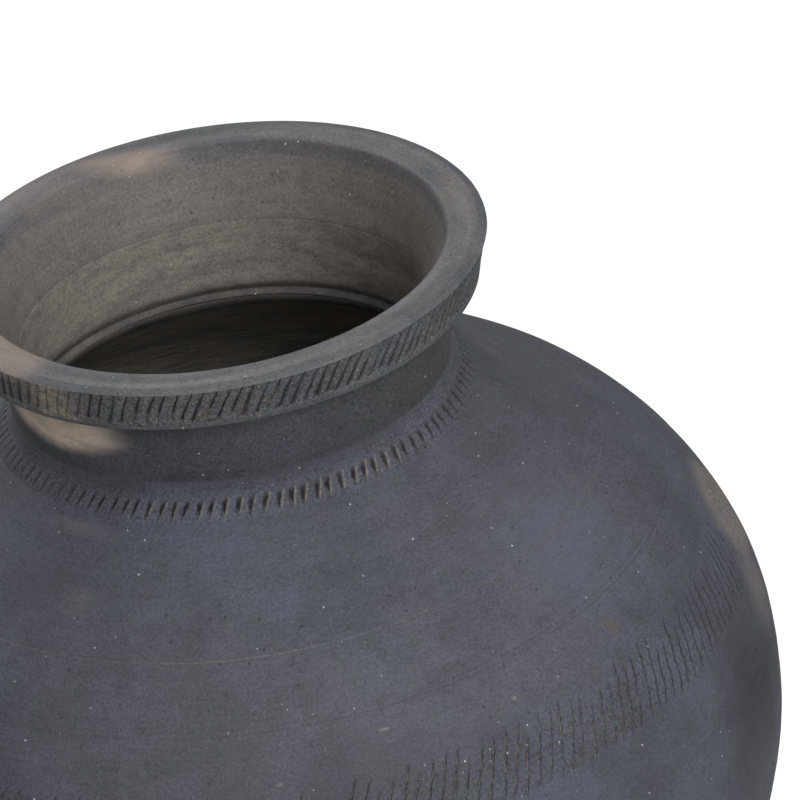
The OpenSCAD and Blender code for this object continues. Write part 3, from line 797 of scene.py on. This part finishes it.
cut *= 0.8 + 0.4 * notch["press"]
inside_band = (high > BAND_LOW - 0.2) & (high < BAND_HIGH + 0.1)
cut = np.where(on_band & inside_band, cut, 0)
rough_band = np.where(on_band, 0.16 * ripples(t, high, 75, 400, 1.5, 30), 0)
oval = 0.45 * ripples(t, 0 * z, 77, 3, 40)
far = 2.4 * np.clip(-np.cos(t), 0, 1) ** 1.5 * np.clip((r - 88) / 6, 0, 1)
dip = np.where(z > 340, 0.5 * ripples(t, r, 79, 4, 60) + 0.1 * ripples(t, r, 81, 2, 4), 0)
droop = 0.7 * np.clip((RIM_FOOT_H + 2 - z) / 2, 0, 1) * (r > 91)
flare_ripple = np.where((r < 84.5) & (z < 342), -0.3 * ripples(t, z, 83, 4, 14), 0)
seat = np.clip((z - RIM_FOOT_H - 0.2) / 3, 0, 1)
move = -0.9 * cut + rough_band + seat * (oval + far)
move += np.clip((z - 319) / 3, 0, 1) * flare_ripple
around = np.degrees(t)
powder = 1.4 * np.exp(-((around + 41) / 6) ** 2) * (1 + 0.8 * ripples(t, high, 87, 60, 4)) * on_band
ends = cut * (up < 0.4) * (notch["press"] > 0.55) * np.exp(-((around + 12) / 11) ** 2)
flecks = cut * (notch["press"] > 0.9) * (np.abs(up - notch["top"]) < 0.25)
# The flat lip and its rounded outer corner are made lighter: partly wear from use, partly painted highlight
# where they face the lamps.
bevel = (r > EDGE_R) & (high > 15.6) & (cut < 0.1)
flat = (r > FLAT_R) & (r < EDGE_R) & (z > 344)
burnish_and_highlight = flat * (0.5 + 0.35 * (2 * ripples(t, r, 89, 5, 7) + 1))
# Painted shade on the inner flare towards the right.
painted_shade = 0.28 * np.exp(-((around - 112) / 38) ** 2) * (r < FLAT_R) * np.clip((z - 325) / 10, 0, 1)
# The notches are darkened as painted shade in the cuts.
settle(rim, t, r + move, z + dip - HEADROOM - droop, sharp=40,
       cut=1.3 * cut + painted_shade, dust=powder + 0.8 * ends + 0.6 * flecks,
       coarse=on_band & (high < 16), inner=(r < FLAT_R) * np.clip((346 - z) / 9, 0, 1),
       worn=0.25 * bevel + burnish_and_highlight)
fitted(rim, "rim_ring", slot="wall_clay", finish=RIM_CLAY)


# The studio: a sheet of pale paper that the jar stands on, bright enough to the camera to melt
# into the white background, with soft lamps above, behind and in front, and the camera.
FLOOR_HALF = 6
AIR_STRENGTH = 0.33
WHITE_STRENGTH = 1.25
floor_mesh = bpy.data.meshes.new("floor")
shape = bmesh.new()
bmesh.ops.create_grid(shape, x_segments=1, y_segments=1, size=FLOOR_HALF)
shape.to_mesh(floor_mesh)
shape.free()
floor = bpy.data.objects.new("floor", floor_mesh)
bpy.context.scene.collection.objects.link(floor)
paper = bpy.data.materials.new("white paper")
paper.use_nodes = True
paper.node_tree.nodes.clear()
w = Wiring(paper.node_tree)
sheet = w.node("ShaderNodeBsdfDiffuse")
sheet.inputs["Color"].default_value = (0.6, 0.6, 0.6, 1)
glow = w.node("ShaderNodeEmission")
glow.inputs["Strength"].default_value = 1.2
seen = w.node("ShaderNodeLightPath").outputs["Is Camera Ray"]
blend = w.node("ShaderNodeMixShader")
w.join(w.math("MULTIPLY", seen, 0.8), blend.inputs["Fac"])
w.join(sheet.outputs[0], blend.inputs[1])
w.join(glow.outputs[0], blend.inputs[2])
end = w.node("ShaderNodeOutputMaterial")
w.join(blend.outputs[0], end.inputs["Surface"])
floor_mesh.materials.append(paper)

world = bpy.data.worlds.new("studio")
bpy.context.scene.world = world
world.use_nodes = True
world.node_tree.nodes.clear()
w = Wiring(world.node_tree)
rays = w.node("ShaderNodeLightPath").outputs
shown = w.math("MAXIMUM", rays["Is Camera Ray"], rays["Is Transmission Ray"])
air = w.node("ShaderNodeBackground")
w.join(w.math("MULTIPLY_ADD", shown, WHITE_STRENGTH - AIR_STRENGTH, AIR_STRENGTH), air.inputs["Strength"])
end = w.node("ShaderNodeOutputWorld")
w.join(air.outputs[0], end.inputs["Surface"])


def lamp(name, place, aim, size, power):
    """A soft square lamp that faces a point, in metres."""
    light = bpy.data.lights.new(name, "AREA")
    light.size = size
    light.energy = power
    holder = bpy.data.objects.new(name, light)
    holder.location = place
    holder.rotation_euler = (Vector(aim) - Vector(place)).to_track_quat("-Z", "Y").to_euler()
    bpy.context.scene.collection.objects.link(holder)


lamp("overhead_lamp", (0.7, -0.7, 2.2), (0, 0, 0.2), 1.2, 12)
lamp("back_lamp", (-1.2, 2.4, 1.3), (0, 0, 0.2), 1.2, 24)
lamp("front_lamp", (0.95, -2.8, 1.85), (0, 0, 0.25), 1.5, 56)

EYE = Vector((0.0, -2.535603, 1.680568))
RIGHT = Vector((0.98591, -0.09806, -0.13551))
UP = Vector((0.16604, 0.47587, 0.8637))
FORWARD = Vector((0.02021, 0.87403, -0.48545))
camera_data = bpy.data.cameras.new("camera")
camera_data.lens = 360
camera_data.sensor_width = 36
camera_data.sensor_fit = "HORIZONTAL"
camera_data.clip_start = 0.1
camera_data.clip_end = 50
camera = bpy.data.objects.new("camera", camera_data)
camera.matrix_world = Matrix((
    (RIGHT.x, UP.x, -FORWARD.x, EYE.x),
    (RIGHT.y, UP.y, -FORWARD.y, EYE.y),
    (RIGHT.z, UP.z, -FORWARD.z, EYE.z),
    (0, 0, 0, 1)))
bpy.context.scene.collection.objects.link(camera)
bpy.context.scene.camera = camera
bpy.context.scene.view_settings.view_transform = "Standard"
